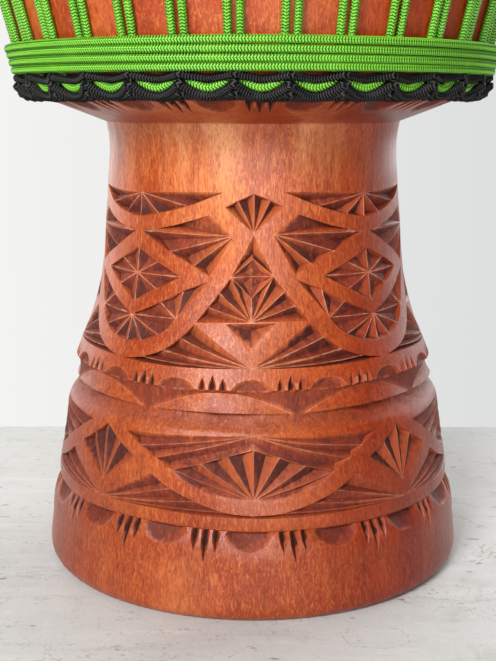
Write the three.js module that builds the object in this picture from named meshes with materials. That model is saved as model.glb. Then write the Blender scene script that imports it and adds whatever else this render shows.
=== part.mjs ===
// A rope-tuned goblet drum: a one-piece hardwood shell, a goatskin head held by steel rings,
// black cradle ropes on the rings, and one green lacing rope with its tail wound round the bowl.
// Millimetres, +Z up. The origin is the centre of the foot's resting face.
import * as THREE from 'three';

// ---- driving dimensions -------------------------------------------------------------------
const FOOT_RADIUS = 125;
const FOOT_WALL = 17;
const NECK_RADIUS = 84.5;
const UNDERSIDE_BOTTOM = 257;
const RIM_HEIGHT = 594;
const ROUND_STEPS = 32;

const ROPE_RADIUS = 2;
const ROPE_SIDES = 4;
const FIT_GAP = 0.4;
const LACING_PAIRS = 32;
const PAIR_ANGLE = 360 / LACING_PAIRS;
const FIRST_PAIR_ANGLE = 180 - PAIR_ANGLE / 3;
const LEG_ANGLE = 1.25;
const TAIL_TURNS = 4;
const TAIL_PITCH = 4.15;
const TAIL_LOWEST = 284.1;
const TAIL_STEPS = 40;

const TAIL_START_SHIFT = 1.5;
const TAIL_GAP = 0.4;

const ROD_RADIUS = 3;
const BOTTOM_ROD_RADIUS = 2.5;
const RING_STEPS = 5;
const WRAP_SLACK = 1.12;
const SKIN_THICKNESS = 1;
const HEM_HEIGHT = 3.2;
const BOTTOM_RING = { radius: 124.2, height: 277.3, rod: BOTTOM_ROD_RADIUS, wrap: 3.6, side: -1 };
const CROWN_RING = { radius: 174.2, height: 540.4, rod: ROD_RADIUS, wrap: 4.4, side: 1 };
const FLESH_RING = { radius: 173.2, height: 531.3 };

// ---- cradle ropes, as [outward, away from the ring's middle plane] at a bend and between bends -
const LOWER_LOOPS = [[1.2, 6.4], [5.2, 2.2]];
const UPPER_LOOPS = [[2.4, 8.4], [6, 2.4]];
const LOWER_STRAND = { low: 5.9, high: 10.6, up: -3, start: 0 };
const UPPER_STRAND = { low: 7, high: 11.4, up: -4.6, start: 0.5 };
const LOOP_STEPS = 4;
const STRAND_STEPS = 6;

// ---- lacing bends, as offsets from their ring --------------------------------------------------
const TOP_BEND = { legsBelow: 3, legsAbove: -0.5, crownIn: 0.2, crownAbove: 3 };
const BOTTOM_BEND = { legsOut: 0.5, legsAbove: 5.5, hip: 0.86, hipAbove: 0.6, midIn: 0.7, midBelow: 2.4 };

// ---- outlines of the turned shell, as [radius, height] --------------------------------------
const FOOT_BAND = [
  [FOOT_RADIUS - 6.5, 0],
  [FOOT_RADIUS - 3, 1.2],
  [FOOT_RADIUS - 0.7, 5],
  [FOOT_RADIUS - 0.4, 10],
  [FOOT_RADIUS - 1.4, 20],
  [FOOT_RADIUS - 5, 43],
  [FOOT_RADIUS - 7, 47.2],
];
const LOWER_TIER = [
  [116.8, 48.4],
  [118.4, 51],
  [116.4, 66],
  [113.9, 83],
  [111.4, 96],
  [105.8, 107],
  [104.2, 113],
  [104.2, 120],
];
const FLARE = [
  [106, 121.4],
  [101.9, 131.8],
  [97.8, 141],
  [92.1, 160],
  [88.3, 179],
  [86.3, 202],
  [NECK_RADIUS, 225],
  [NECK_RADIUS - 0.5, 250],
  [NECK_RADIUS + 0.8, UNDERSIDE_BOTTOM],
];
const BOWL_EDGE = [
  [117, 269],
  [118.6, 272.5],
  [119.6, 277.5],
  [122.2, 282],
  [128.6, 285],
];
const BOWL_WALL = [
  [132.8, 300],
  [138, 320],
  [145.5, 350],
  [155.5, 400],
  [162.5, 450],
  [166.5, 500],
  [168, 540],
  [167, 575],
  [164, 588],
];
const BEARING_EDGE = [
  [159.5, RIM_HEIGHT - 1],
  [157.5, RIM_HEIGHT - 1],
  [152, 580],
];
const BORE = [
  [155, 480],
  [150, 420],
  [138, 365],
  [118, 320],
  [90, 290],
  [60, 262],
  [56, 245],
  [60, 215],
  [78, 150],
  [96, 80],
  [FOOT_RADIUS - FOOT_WALL - 2, 30],
  [FOOT_RADIUS - FOOT_WALL, 0],
];

// ---- materials ------------------------------------------------------------------------------
const material = (name, color, roughness, metalness = 0) =>
  new THREE.MeshStandardMaterial({ name, color, roughness, metalness });
const wood = material('wood', 0xb5603a, 0.45);
const skin = material('skin', 0xe2d2b4, 0.6);
const steel = material('steel', 0x8a8c90, 0.4, 0.9);
const wrapCloth = material('wrap_cloth', 0x17171b, 0.9);
const blackRope = material('black_rope', 0x101014, 0.75);
const greenRope = material('green_rope', 0x63c52e, 0.6);

// ---- helpers --------------------------------------------------------------------------------
const group = new THREE.Group();

function add(name, geometry, surface) {
  const mesh = new THREE.Mesh(geometry, surface);
  mesh.name = name;
  group.add(mesh);
}

// A closed outline of [radius, height] points, turned about +Z.
function turned(outline) {
  const points = [...outline, outline[0]].map(([r, z]) => new THREE.Vector2(r, z));
  return new THREE.LatheGeometry(points, ROUND_STEPS).rotateX(Math.PI / 2);
}

// Points of an arc about a [radius, height] centre, in degrees from outward, positive upward.
function arc(centre, radius, from, to, steps) {
  return Array.from({ length: steps + 1 }, (_, i) => {
    const angle = THREE.MathUtils.degToRad(from + ((to - from) * i) / steps);
    return [centre.radius + radius * Math.cos(angle), centre.height + radius * Math.sin(angle)];
  });
}

// Angle 0 faces -Y and grows towards +X.
function around(angle, radius, height) {
  const a = THREE.MathUtils.degToRad(angle);
  return new THREE.Vector3(radius * Math.sin(a), -radius * Math.cos(a), height);
}

// Straight steps between listed points, so that each point becomes one section of a rope.
class Route extends THREE.Curve {
  constructor(points, closed) {
    super();
    this.points = points;
    this.closed = closed;
  }
  at(index) {
    const n = this.points.length;
    const last = n - 1;
    return this.points[this.closed ? (index + n) % n : Math.min(Math.max(index, 0), last)];
  }
  get steps() {
    return this.closed ? this.points.length : this.points.length - 1;
  }
  getPoint(t, target = new THREE.Vector3()) {
    return target.copy(this.at(Math.round(t * this.steps)));
  }
  getPointAt(t, target) {
    return this.getPoint(t, target);
  }
  getTangent(t, target = new THREE.Vector3()) {
    const i = Math.round(t * this.steps);
    return target.copy(this.at(i + 1)).sub(this.at(i - 1)).normalize();
  }
  getTangentAt(t, target) {
    return this.getTangent(t, target);
  }
}

function ringRope(points) {
  const route = new Route(points, true);
  return new THREE.TubeGeometry(route, route.steps, ROPE_RADIUS, ROPE_SIDES, true);
}

function openRope(points) {
  const route = new Route(points, false);
  const corners = [];
  for (let i = 0; i < ROPE_SIDES; i += 1) {
    const a = (i / ROPE_SIDES) * 2 * Math.PI;
    corners.push(new THREE.Vector2(ROPE_RADIUS * Math.cos(a), ROPE_RADIUS * Math.sin(a)));
  }
  const section = new THREE.Shape(corners);
  return new THREE.ExtrudeGeometry(section, { steps: route.steps, extrudePath: route });
}

// The bowl's outer radius at a height.
function bowlRadius(height) {
  const wall = [...BOWL_EDGE.slice(-1), ...BOWL_WALL];
  const top = wall.findIndex(([, z]) => z >= height);
  if (top < 1) return wall[0][0];
  const [r0, z0] = wall[top - 1];
  const [r1, z1] = wall[top];
  return r0 + ((r1 - r0) * (height - z0)) / (z1 - z0);
}

// ---- shell, skin and rings ------------------------------------------------------------------
function shell() {
  const outside = [...FOOT_BAND, ...LOWER_TIER, ...FLARE, ...BOWL_EDGE, ...BOWL_WALL];
  return turned([...outside, ...BEARING_EDGE, ...BORE]);
}

// The head runs over the rim, down the bowl, and folds outwards round the flesh ring.
function drumSkin() {
  const foldIn = ROD_RADIUS + FIT_GAP;
  const foldOut = foldIn + SKIN_THICKNESS;
  const hemTop = FLESH_RING.height + HEM_HEIGHT;
  const skirtIn = FLESH_RING.radius - foldOut;
  const under = RIM_HEIGHT + FIT_GAP;
  const inner = [
    [0, under - SKIN_THICKNESS],
    [157.5, under - SKIN_THICKNESS + FIT_GAP],
    [160.2, under - SKIN_THICKNESS],
    [164.8, 588],
    [167.8, 575],
    [skirtIn, 540],
  ];
  const fold = arc(FLESH_RING, foldOut, 180, 360, 6);
  const back = arc(FLESH_RING, foldIn, 0, -180, 6);
  const outer = [
    [skirtIn + SKIN_THICKNESS, 540],
    [167.8 + SKIN_THICKNESS, 575.3],
    [164.8 + SKIN_THICKNESS, 588.6],
    [160.7, under],
    [157.5, under + FIT_GAP],
    [0, under],
  ];
  const hem = [
    [FLESH_RING.radius + foldOut, hemTop],
    [FLESH_RING.radius + foldIn, hemTop],
  ];
  const profile = [...inner, ...fold, ...hem, ...back, ...outer];
  const points = profile.map(([r, z]) => new THREE.Vector2(r, z));
  return new THREE.LatheGeometry(points, ROUND_STEPS).rotateX(Math.PI / 2);
}

function steelRing({ radius, height }, rod) {
  return turned(arc({ radius, height }, rod, 0, 300, RING_STEPS));
}

// Cloth wound round a ring, with its lapped edges left a little apart towards the drum's middle.
function ringWrap(ring) {
  const inner = arc(ring, (ring.rod + FIT_GAP / 2) * WRAP_SLACK, 160, -160, 6);
  const outer = arc(ring, ring.wrap, -165, 165, 6);
  return turned([...outer, ...inner]);
}

// ---- cradle ropes -----------------------------------------------------------------------------
// Both ropes of a ring are periodic: 0 is the middle of a lacing bend, 0.5 is midway to the next.
function cradle(ring, bendCentre, steps, section) {
  const points = [];
  for (let i = 0; i < LACING_PAIRS * steps; i += 1) {
    const { out, up } = section((i % steps) / steps);
    const angle = bendCentre + (i * PAIR_ANGLE) / steps;
    points.push(around(angle, ring.radius + out, ring.height + up * ring.side));
  }
  return points;
}

const wave = (t, atBend, between) =>
  (atBend + between) / 2 + ((atBend - between) / 2) * Math.cos(2 * Math.PI * t);

// The strand lies close to the ring at its low part and stands out over the lacing's legs.
const strandSection = ({ low, high, up, start }) => (t) => {
  const rise = Math.min(1, (1 - Math.cos(2 * Math.PI * (t + start))) / 1.5);
  return { out: low + (high - low) * rise, up };
};

// The loops pass round the ring's far side, behind each lacing bend, and rise between bends.
const loopSection = ([atBend, between]) => (t) => ({
  out: wave(t, atBend[0], between[0]),
  up: wave(t, atBend[1], between[1]),
});

// ---- lacing rope ------------------------------------------------------------------------------
const RUN_HEIGHTS = [500, 450, 400, 350, 302];
const LEG_CLEARANCE = ROPE_RADIUS + FIT_GAP;

function run(angle) {
  return RUN_HEIGHTS.map((z) => around(angle, bowlRadius(z) + LEG_CLEARANCE, z));
}

// The bend over the crown ring that joins the two legs of a pair.
function topBend(centre) {
  const out = CROWN_RING.radius + CROWN_RING.wrap + LEG_CLEARANCE;
  const legs = (side) => [
    around(centre + side * LEG_ANGLE, out, FLESH_RING.height - TOP_BEND.legsBelow),
    around(centre + side * LEG_ANGLE, out, CROWN_RING.height + TOP_BEND.legsAbove),
  ];
  const crown = around(centre, out - TOP_BEND.crownIn, CROWN_RING.height + TOP_BEND.crownAbove);
  return [...legs(-1), crown, ...legs(1).reverse()];
}

// The wide shallow bend under the cradle strand, from one pair to the next.
function bottomBend(centre) {
  const bend = BOTTOM_BEND;
  const half = PAIR_ANGLE / 2 - LEG_ANGLE;
  const out = BOTTOM_RING.radius + BOTTOM_RING.wrap + LEG_CLEARANCE;
  const legs = (side) => [
    around(centre + side * half, out + bend.legsOut, BOTTOM_RING.height + bend.legsAbove),
    around(centre + side * half * bend.hip, out, BOTTOM_RING.height + bend.hipAbove),
  ];
  const middle = around(centre, out - bend.midIn, BOTTOM_RING.height - bend.midBelow);
  return [...legs(-1), middle, ...legs(1).reverse()];
}

// The rope's tail drops out over the last leg, winds down the bowl, and tucks in under the turns.
function tail(startAngle) {
  const out = (z) => bowlRadius(z) + 3 * ROPE_RADIUS + 2 * FIT_GAP + TAIL_GAP;
  const top = TAIL_LOWEST + (TAIL_TURNS - 1) * TAIL_PITCH;
  const start = top + 3 * ROPE_RADIUS;
  const points = [around(startAngle, out(start) - ROPE_RADIUS, start)];
  const stepCount = TAIL_STEPS * TAIL_TURNS - 2;
  for (let i = 1; i <= stepCount; i += 1) {
    const turn = i / TAIL_STEPS;
    const z = Math.max(top - turn * TAIL_PITCH + TAIL_PITCH / 2, TAIL_LOWEST);
    points.push(around(startAngle + 360 * turn, out(z), Math.min(z, top)));
  }
  return points;
}

function lacingRope() {
  const points = [];
  for (let k = 0; k < LACING_PAIRS; k += 1) {
    const pair = FIRST_PAIR_ANGLE + (k + 1) * PAIR_ANGLE;
    points.push(...run(pair - LEG_ANGLE).reverse());
    points.push(...topBend(pair));
    points.push(...run(pair + LEG_ANGLE));
    if (k < LACING_PAIRS - 1) points.push(...bottomBend(pair + PAIR_ANGLE / 2));
  }
  const last = FIRST_PAIR_ANGLE + LACING_PAIRS * PAIR_ANGLE + LEG_ANGLE;
  points.push(...tail(last + TAIL_START_SHIFT));
  return points;
}

// ---- assembly -----------------------------------------------------------------------------------
add('shell', shell(), wood);
add('drum_skin', drumSkin(), skin);
add('flesh_ring', steelRing(FLESH_RING, ROD_RADIUS), steel);
add('crown_ring', steelRing(CROWN_RING, CROWN_RING.rod), steel);
add('bottom_ring', steelRing(BOTTOM_RING, BOTTOM_RING.rod), steel);
add('crown_ring_wrap', ringWrap(CROWN_RING), wrapCloth);
add('bottom_ring_wrap', ringWrap(BOTTOM_RING), wrapCloth);

const bottomBendCentre = FIRST_PAIR_ANGLE + PAIR_ANGLE / 2;
const lowerLoops = cradle(BOTTOM_RING, bottomBendCentre, LOOP_STEPS, loopSection(LOWER_LOOPS));
const lowerStrand = cradle(BOTTOM_RING, bottomBendCentre, STRAND_STEPS, strandSection(LOWER_STRAND));
const upperLoops = cradle(CROWN_RING, FIRST_PAIR_ANGLE, LOOP_STEPS, loopSection(UPPER_LOOPS));
const upperStrand = cradle(CROWN_RING, FIRST_PAIR_ANGLE, STRAND_STEPS, strandSection(UPPER_STRAND));
add('lower_cradle_loops', ringRope(lowerLoops), blackRope);
add('lower_cradle_strand', ringRope(lowerStrand), blackRope);
add('upper_cradle_loops', ringRope(upperLoops), blackRope);
add('upper_cradle_strand', ringRope(upperStrand), blackRope);
add('lacing_rope', openRope(lacingRope()), greenRope);

export default group;
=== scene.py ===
"""The looks of a rope-tuned goblet drum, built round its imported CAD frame.

Shapes are worked out in millimetres and degrees and turned into metres as each mesh is made.
Angle 0 faces -Y and grows towards +X. The shell's carving is drawn flat, one half of a mirrored
unit at a time, as points of (angle, height, depth cut into the wood), and is then wrapped round
the shell's outline. Materials, lamps and the camera are set in metres.
"""
import math
from types import SimpleNamespace

import bmesh
import bpy
import numpy as np
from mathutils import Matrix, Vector
from mathutils.geometry import delaunay_2d_cdt


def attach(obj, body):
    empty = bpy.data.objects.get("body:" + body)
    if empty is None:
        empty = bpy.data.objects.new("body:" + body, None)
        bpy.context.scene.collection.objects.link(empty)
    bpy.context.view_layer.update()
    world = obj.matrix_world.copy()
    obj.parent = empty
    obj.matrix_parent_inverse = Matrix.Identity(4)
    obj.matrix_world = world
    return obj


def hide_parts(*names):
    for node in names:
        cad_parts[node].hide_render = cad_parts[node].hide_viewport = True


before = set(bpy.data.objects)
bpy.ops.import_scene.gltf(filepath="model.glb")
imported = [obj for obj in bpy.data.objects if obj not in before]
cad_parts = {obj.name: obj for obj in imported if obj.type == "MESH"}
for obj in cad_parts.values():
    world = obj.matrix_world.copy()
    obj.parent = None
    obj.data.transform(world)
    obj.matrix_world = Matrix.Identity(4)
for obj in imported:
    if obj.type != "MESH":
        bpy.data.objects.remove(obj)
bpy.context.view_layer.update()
MM = 0.001

# ---- sizes shared with the CAD part, in millimetres and degrees
FOOT_RADIUS = 125.0
RIM_HEIGHT = 594.0
ROPE_RADIUS = 2.0
PAIRS = 32
PAIR_ANGLE = 360.0 / PAIRS
FIRST_PAIR_ANGLE = 180.0 - PAIR_ANGLE / 3
LEG_ANGLE = 1.25
TAIL_TURNS = 4
TAIL_PITCH = 4.15
TAIL_LOWEST = 284.1
TAIL_TOP = TAIL_LOWEST + (TAIL_TURNS - 1) * TAIL_PITCH
BOTTOM_RING = {"radius": 124.2, "height": 277.3, "side": -1}
CROWN_RING = {"radius": 174.2, "height": 540.4, "side": 1}
FLESH_RING = {"radius": 173.2, "height": 531.3}

# ---- the shell's outline, as (radius, height)
BORE = [(155, 480), (150, 420), (138, 365), (118, 320), (90, 290), (60, 262), (56, 245),
        (60, 215), (78, 150), (96, 80), (106, 30), (108, 0)]
FOOT = [(118.5, 0), (122, 1.2), (124.3, 5), (124.6, 10), (123.6, 20), (120, 43), (118, 47.2)]
LOWER_TIER = [(118.2, 50), (118.3, 52), (116.4, 66), (113.9, 83), (111.4, 96), (105.8, 107),
              (104.2, 113), (104.2, 120)]
LIP = [(106, 121.4), (101.9, 131.8)]
FLARE = [(101.9, 131.8), (97.8, 141), (92.1, 160), (88.3, 179), (86.3, 202), (84.5, 225),
         (84, 250), (85.3, 257)]
BOWL_EDGE = [(117, 269), (118.6, 272.5), (119.6, 277.5), (122.2, 282), (128.6, 285)]
BOWL = [(128.6, 285), (132.8, 300), (138, 320), (145.5, 350), (155.5, 400), (162.5, 450),
        (166.5, 500), (168, 540), (167, 575), (164, 588), (159.5, 593), (157.5, 593), (152, 580)]
UNDERSIDE = [FLARE[-1], *BOWL_EDGE[:2]]
UNDERSIDE_ALONG = (85.3, 117.0, 120.7)

# ---- braided rope
BRAID_RADIUS = 2.3
ROPE_SIDES = 8
STITCH = 1.5
STITCH_RELIEF = 0.26

# ---- half of each mirrored unit of carving, in degrees
QUARTER_HALF = 45.0
LEAF_HALF = 22.5
MOON_HALF = 11.25

# ---- the heights at which one band of the shell meets the next
FOOT_SEAM = 28.0
FOOT_EDGE = 48.6
TIER_SEAM = 50.0
LEAF_SEAM = 99.6
LEAF_TOP = 120.0
LIP_SEAM = 120.2
STEM_SEAM = 131.8
FLARE_SEAM = 225.0

# ---- depths of the carving, and the mesh's fineness
GROOVE = {"height": 48.4, "reach": 0.9, "depth": 1.3}
STEP_ANGLE = 0.9375
CARVE_SPACING = 2.4
CHIP_DEPTH = 4.2
RIDGE_DEPTH = 0.6
RIDGE_GAP = 0.9  # the length over which a ridge comes up to the rim
WALL = 1.7  # how far a groove's deepest point stays from its rim
LEAST_REACH = 0.45  # the least share of a groove's length that either keeps
FULLY_CUT = 0.45  # the depth from which wood counts as carved
# The distance that counts as clear of any pale edge, worn or painted highlight.
FAR_FROM_PALE_EDGE = 9.0


# ==== curves and meshes ====
def hermite(points, values):
    """A smooth curve through (value, position) points, read at the given positions."""
    r = np.array([p[0] for p in points], float)
    z = np.array([p[1] for p in points], float)
    slope = np.gradient(r, z)
    i = np.clip(np.searchsorted(z, values) - 1, 0, len(z) - 2)
    h = z[i + 1] - z[i]
    t = (values - z[i]) / h
    return ((2 * t**3 - 3 * t**2 + 1) * r[i] + (t**3 - 2 * t**2 + t) * h * slope[i]
            + (3 * t**2 - 2 * t**3) * r[i + 1] + (t**3 - t**2) * h * slope[i + 1])


def smooth_line(points, per=4):
    """A Catmull-Rom line through points, with per steps between each two."""
    p = np.array(points, float)
    ends = np.vstack([2 * p[0] - p[1], p, 2 * p[-1] - p[-2]])
    t = np.arange(per)[:, None] / per
    parts = []
    for a, b, c, d in zip(ends, ends[1:], ends[2:], ends[3:]):
        parts.append(0.5 * (2 * b + (c - a) * t + (2 * a - 5 * b + 4 * c - d) * t**2
                            + (3 * b - a - 3 * c + d) * t**3))
    return np.vstack([*parts, p[-1:]])


def on_circle(angle, radius, height):
    """Points in millimetres from angles in degrees."""
    a = np.radians(angle)
    return np.stack(np.broadcast_arrays(radius * np.sin(a), -radius * np.cos(a), height), -1)


def add_mesh(name, points, faces, smooth=True, sharp=None):
    """A mesh object from points in millimetres."""
    mesh = bpy.data.meshes.new(name)
    mesh.from_pydata((np.asarray(points) * MM).tolist(), [], [list(f) for f in faces])
    mesh.validate()
    if smooth:
        mesh.polygons.foreach_set("use_smooth", np.ones(len(mesh.polygons), bool))
    if sharp is not None:
        mesh.set_sharp_from_angle(angle=math.radians(sharp))
    obj = bpy.data.objects.new(name, mesh)
    bpy.context.scene.collection.objects.link(obj)
    return obj


def ring_faces(rows, columns, closed=False):
    """Quads between rings of points; closed joins the last ring to the first."""
    r = np.arange(rows if closed else rows - 1)[:, None] * columns
    above = (r + columns) % (rows * columns)
    c = np.arange(columns)[None, :]
    right = (c + 1) % columns
    quads = np.broadcast_arrays(r + c, r + right, above + right, above + c)
    return np.stack(quads, -1).reshape(-1, 4)


def cross(p, q):
    """The area between two flat vectors, twice that of their triangle."""
    return p[..., 0] * q[..., 1] - q[..., 0] * p[..., 1]


def unit(vectors):
    """The rows as vectors one long."""
    return vectors / np.linalg.norm(vectors, axis=1)[:, None]


def weld(obj):
    """Joins points that coincide, as along the seams, and turns every face outwards."""
    bm = bmesh.new()
    bm.from_mesh(obj.data)
    bmesh.ops.remove_doubles(bm, verts=bm.verts, dist=0.02 * MM)
    bmesh.ops.recalc_face_normals(bm, faces=bm.faces)
    bm.to_mesh(obj.data)
    bm.free()


# ==== the carved shell ====
class Strip:
    """One half of a mirrored unit of carving, drawn flat as (angle, height, depth).

    The scale is the millimetres in one degree. The tone says how dark the carved wood is, above 1
    as painted shade inside notches, and only_cut keeps it to what lies below the surface.
    """

    def __init__(self, width, low, high, scale, tone=1.0, only_cut=True):
        self.width, self.low, self.high, self.scale = width, low, high, scale
        self.tone, self.only_cut = tone, only_cut
        self.points, self.edges, self.worn, self.index = [], [], [], {}
        self.frame_in()

    def point(self, angle, height, depth=0.0):
        """The number of a drawn point; a point already drawn keeps its first depth."""
        key = (round(angle, 2), round(height, 2))
        if key not in self.index:
            self.index[key] = len(self.points)
            self.points.append([angle, height, depth])
        return self.index[key]

    def line(self, *points, worn=0.0):
        """A crease through the points, and how pale its edge is: partly rubbed wear, partly a painted edge
        highlight.
        """
        ids = [self.point(*p) for p in points]
        pairs = [(a, b) for a, b in zip(ids, ids[1:]) if a != b]
        self.edges += pairs
        if worn:
            self.worn += [(a, b, worn) for a, b in pairs]

    def frame_in(self):
        """The strip's border, with points at every step so that its neighbours meet it."""
        angles = np.linspace(0, self.width, round(self.width / STEP_ANGLE) + 1)
        for height in (self.low, self.high):
            self.line(*[(a, height) for a in angles])
        for angle in (0, self.width):
            self.line((angle, self.low), (angle, self.high))

    def towards(self, apex, point, short):
        """The place `short` millimetres before the point, on the way from the apex."""
        a, p = np.array(apex[:2], float), np.array(point[:2], float)
        length = np.hypot((p[0] - a[0]) * self.scale, p[1] - a[1])
        return a + (p - a) * max(1 - short / max(length, 1e-6), LEAST_REACH)

    def ray(self, apex, end, ridge):
        """A ridge that runs a little below the surface, or a clean edge of the recess."""
        if not ridge:
            self.line(apex, end, worn=0.5)
            return None
        near = self.towards(apex, end, RIDGE_GAP)
        inner = (near[0], near[1], RIDGE_DEPTH)
        self.line(apex, inner, worn=1.0)
        self.line(inner, end)
        return inner

    def chip(self, apex, rim, depth=CHIP_DEPTH, first=True, last=True):
        """One groove of a fan, from the apex to the rim; first and last say which sides are ridges."""
        self.line(*rim, worn=0.5)
        sides = [self.ray(apex, rim[0], first), self.ray(apex, rim[-1], last)]
        middle = np.array([p[:2] for p in rim], float)
        pick = middle[len(middle) // 2] if len(middle) > 2 else middle.mean(0)
        v = self.towards(apex, pick, WALL)
        valley = (v[0], v[1], depth)
        self.line(apex, valley)
        for side in sides:
            if side is not None:
                self.line(valley, side)
        for p in (rim[0], rim[-1]):
            self.line(valley, p)

    def fan(self, apex, rim, per=1, depth=CHIP_DEPTH, first=False, last=False):
        """Grooves side by side from one apex, each as wide as `per` steps of the rim."""
        end = len(rim) - 1
        for i in range(0, end, per):
            self.chip(apex, rim[i:i + per + 1], depth, first or i > 0, last or i + per < end)

    # -- from the drawing to fine triangles --
    def flat(self, p):
        """Drawn points as millimetres across and up."""
        return np.column_stack([p[:, 0] * self.scale, p[:, 1]])

    def triangulate(self):
        """Coarse triangles whose edges are the drawn lines.

        Where two lines cross, the crossing is as deep as the shallower one.
        """
        pts = np.array(self.points)
        xy = [Vector(p) for p in self.flat(pts)]
        out = delaunay_2d_cdt(xy, self.edges, [], 0, 1e-4, True)
        verts, tris, origins = out[0], out[2], out[3]
        flat = np.array([tuple(v) for v in verts])
        depth = np.zeros(len(flat))
        ends = np.array(self.edges)
        a, b = self.flat(pts)[ends[:, 0]], self.flat(pts)[ends[:, 1]]
        for i, ids in enumerate(origins):
            if ids:
                depth[i] = max(pts[j, 2] for j in ids)
                continue
            t = np.clip(((flat[i] - a) * (b - a)).sum(1) / np.maximum(((b - a)**2).sum(1), 1e-9), 0, 1)
            gap = np.hypot(*(a + (b - a) * t[:, None] - flat[i]).T)
            crossing = gap < gap.min() + 1e-3
            depth[i] = (pts[ends[:, 0], 2] * (1 - t) + pts[ends[:, 1], 2] * t)[crossing].min()
        return flat, depth, np.array([t for t in tris if len(t) == 3])

    def refine(self):
        """Fine triangles on the coarse ones, with each crease kept as a row of edges."""
        flat, depth, tris = self.triangulate()
        pts, edges = self.along_creases(flat, depth, tris)
        taken, spots = np.array(pts)[:, :2], self.hex_grid(flat)
        for t in tris:
            pts += self.inside(flat[t], depth[t], spots, taken)
        pts = np.array(pts)
        out = delaunay_2d_cdt([Vector(p) for p in pts[:, :2]], edges, [], 0, 1e-5, True)
        fine = pts[[ids[0] if ids else 0 for ids in out[3]]]
        fine[:, :2] = np.array([tuple(v) for v in out[0]])
        return fine, np.array(out[2]), self.worn_distance(fine[:, :2])

    def along_creases(self, flat, depth, tris):
        """The coarse points, and more between them, with the short edges that join them."""
        pts = [tuple(p) + (d,) for p, d in zip(flat, depth)]
        edges = []
        pairs = {tuple(sorted((int(t[i]), int(t[i - 1])))) for t in tris for i in range(3)}
        for a, b in sorted(pairs):
            length = np.hypot(*(flat[a] - flat[b]))
            count = max(1, round(length / CARVE_SPACING))
            ids = [a]
            for k in range(1, count):
                t = k / count
                ids.append(len(pts))
                pts.append(tuple(flat[a] * (1 - t) + flat[b] * t) + (depth[a] * (1 - t) + depth[b] * t,))
            ids.append(b)
            edges += list(zip(ids, ids[1:]))
        return pts, edges

    def inside(self, corners, depths, spots, taken):
        """The spots inside one coarse triangle, clear of its creases, at the triangle's depth."""
        a, b, c = corners
        area = cross(b - a, c - a)
        if abs(area) < 1e-6:
            return []
        u = cross(spots - a, c - a) / area
        v = cross(b - a, spots - a) / area
        within = (u > 0.08) & (v > 0.08) & (u + v < 0.92)
        found = []
        for p, pu, pv in zip(spots[within], u[within], v[within]):
            if np.hypot(*(taken - p).T).min() >= 0.55 * CARVE_SPACING:
                found.append((p[0], p[1], depths[0] * (1 - pu - pv) + depths[1] * pu + depths[2] * pv))
        return found

    def hex_grid(self, flat):
        """Evenly spread spots over the whole strip."""
        low, high = flat.min(0), flat.max(0)
        rows = np.arange(low[1], high[1], CARVE_SPACING * 0.87)
        spots = []
        for i, y in enumerate(rows):
            x = np.arange(low[0] + (i % 2) * CARVE_SPACING / 2, high[0], CARVE_SPACING)
            spots.append(np.column_stack([x, np.full(len(x), y)]))
        return np.vstack(spots)

    def worn_distance(self, fine):
        """How far each point is from a pale edge (wear and painted highlight), in millimetres; fainter
        edges count as further.
        """
        pts = self.flat(np.array(self.points))
        best = np.full(len(fine), FAR_FROM_PALE_EDGE)
        for i, j, strength in self.worn:
            a, b = pts[i], pts[j]
            t = np.clip(((fine - a) @ (b - a)) / max(((b - a)**2).sum(), 1e-9), 0, 1)
            gap = np.hypot(*(a + (b - a) * t[:, None] - fine).T)
            best = np.minimum(best, gap + (1 - strength) * 0.5)
        return best


# ---- what is carved on each strip
def upper_carving():
    """The stem above the lip: a kite, lens, eye, diamond and oval in each quarter."""
    s = Strip(QUARTER_HALF, STEM_SEAM, FLARE_SEAM, 1.56)
    s.fan((0, 200.6), [(0, 221), (5.8, 217.4), (10.3, 213.8)], first=True)
    top = smooth_line([(10.5, 221.6), (23.6, 213.8), (35.9, 209.4), (45, 207.4)], 3)
    s.fan((45, 220.6), top, 3, last=True)
    eye = (6.8, 199.4)
    s.chip(eye, [(15.4, 209.9), (22, 206.7), (29.2, 203.6), (36.5, 201.3), (43.4, 200)], first=False)
    s.fan(eye, [(43.4, 200), (30.4, 189.8), (21.1, 183.4), (14.9, 178.4)], first=True)
    s.fan((45, 176.8), [(45, 190.8), (35.2, 184), (25.2, 177.2), (35.2, 169.4), (45, 161.4)],
          depth=2.8, first=True, last=True)
    knee, under = (25.8, 155.8), (45, 154.2)
    s.fan(knee, [(15.4, 175.6), (24.3, 170.2), (32.9, 163), under], depth=3.0, last=True)
    s.fan(under, [knee, (28.4, 150.4), (31.8, 146), (35, 143.4), (38.5, 141.5), (41.8, 140.6),
                  (45, 140.3)], 2, 3.0, first=True, last=True)
    centre_carving(s)
    return s


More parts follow.
